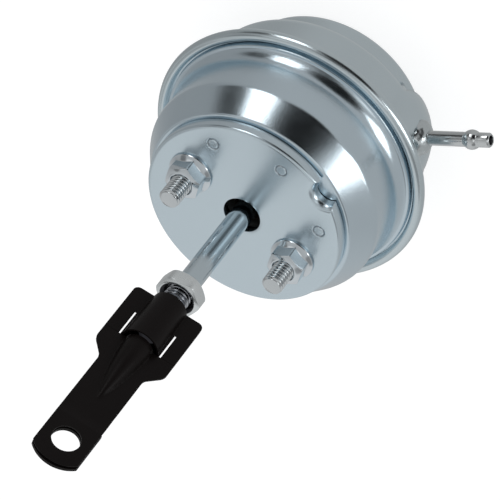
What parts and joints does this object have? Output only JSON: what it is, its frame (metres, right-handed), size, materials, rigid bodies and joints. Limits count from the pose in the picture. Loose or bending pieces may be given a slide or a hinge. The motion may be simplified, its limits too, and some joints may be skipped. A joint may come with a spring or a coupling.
{
  "type": "wastegate actuator",
  "caption": "Spring-loaded diaphragm canister of two crimped sheet cans with a mounting plate, threaded studs, a hose nipple and a sliding threaded rod with a stamped black rod end",
  "frame": {"origin": "centre of the end plate's outer face, midway between the two mounting studs, on the canister's axis", "axes": "+Z along the rod towards the rod end; X along the line through the two studs; +Y the side of the hose nipple; the rear can's flat end faces -Z"},
  "size_m": [0.1088, 0.1135, 0.2096],
  "materials": {
    "zinc_sheet": "bright zinc plate, slightly blue, satin",
    "zinc_steel": "bright zinc plate on drawn and threaded bar",
    "plated_nut": "bright nickel-like plate, smooth flats",
    "nipple_steel": "bright drawn tube",
    "braze": "dull, lumpy braze metal",
    "black_steel": "semi-matte black coating on stamped sheet",
    "diaphragm_rubber": "fabric-backed rubber, matte",
    "inner_steel": "plain pressed sheet",
    "spring_steel": "drawn spring wire",
    "bush_bronze": "sintered bronze"
  },
  "bodies": {
    "canister": {"rear_can": "zinc_sheet", "front_can": "zinc_sheet", "end_plate": "zinc_sheet", "stud_left": "zinc_steel", "stud_right": "zinc_steel", "flange_nut_left": "plated_nut", "flange_nut_right": "plated_nut", "hose_nipple": "nipple_steel", "braze_collar": "braze", "diaphragm": "diaphragm_rubber", "spring": "spring_steel", "spring_seat": "inner_steel", "guide_holder": "inner_steel", "guide_bush": "bush_bronze", "bush_clip": "inner_steel"},
    "rod": {"actuator_rod": "zinc_steel", "piston_cup": "inner_steel", "retainer_plate": "inner_steel", "piston_washer": "inner_steel", "piston_nut": "plated_nut"},
    "jam_nut": {"jam_nut": "plated_nut"},
    "rod_end": {"rod_end": "black_steel"}
  },
  "joints": [
    {"name": "rod_slide", "type": "slide", "parent": "canister", "child": "rod", "axis": [0, 0, 1], "range_m": [0, 0.015], "stiffness_N_per_m": 12000, "springref_m": -0.02, "deforming": ["spring", "diaphragm"]},
    {"name": "jam_nut_turn", "type": "hinge", "parent": "rod", "child": "jam_nut", "pos_m": [0, 0, 0.0447], "axis": [0, 0, 1], "continuous": true},
    {"name": "rod_end_turn", "type": "hinge", "parent": "rod", "child": "rod_end", "pos_m": [0, 0, 0.0644], "axis": [0, 0, 1], "continuous": true}
  ]
}
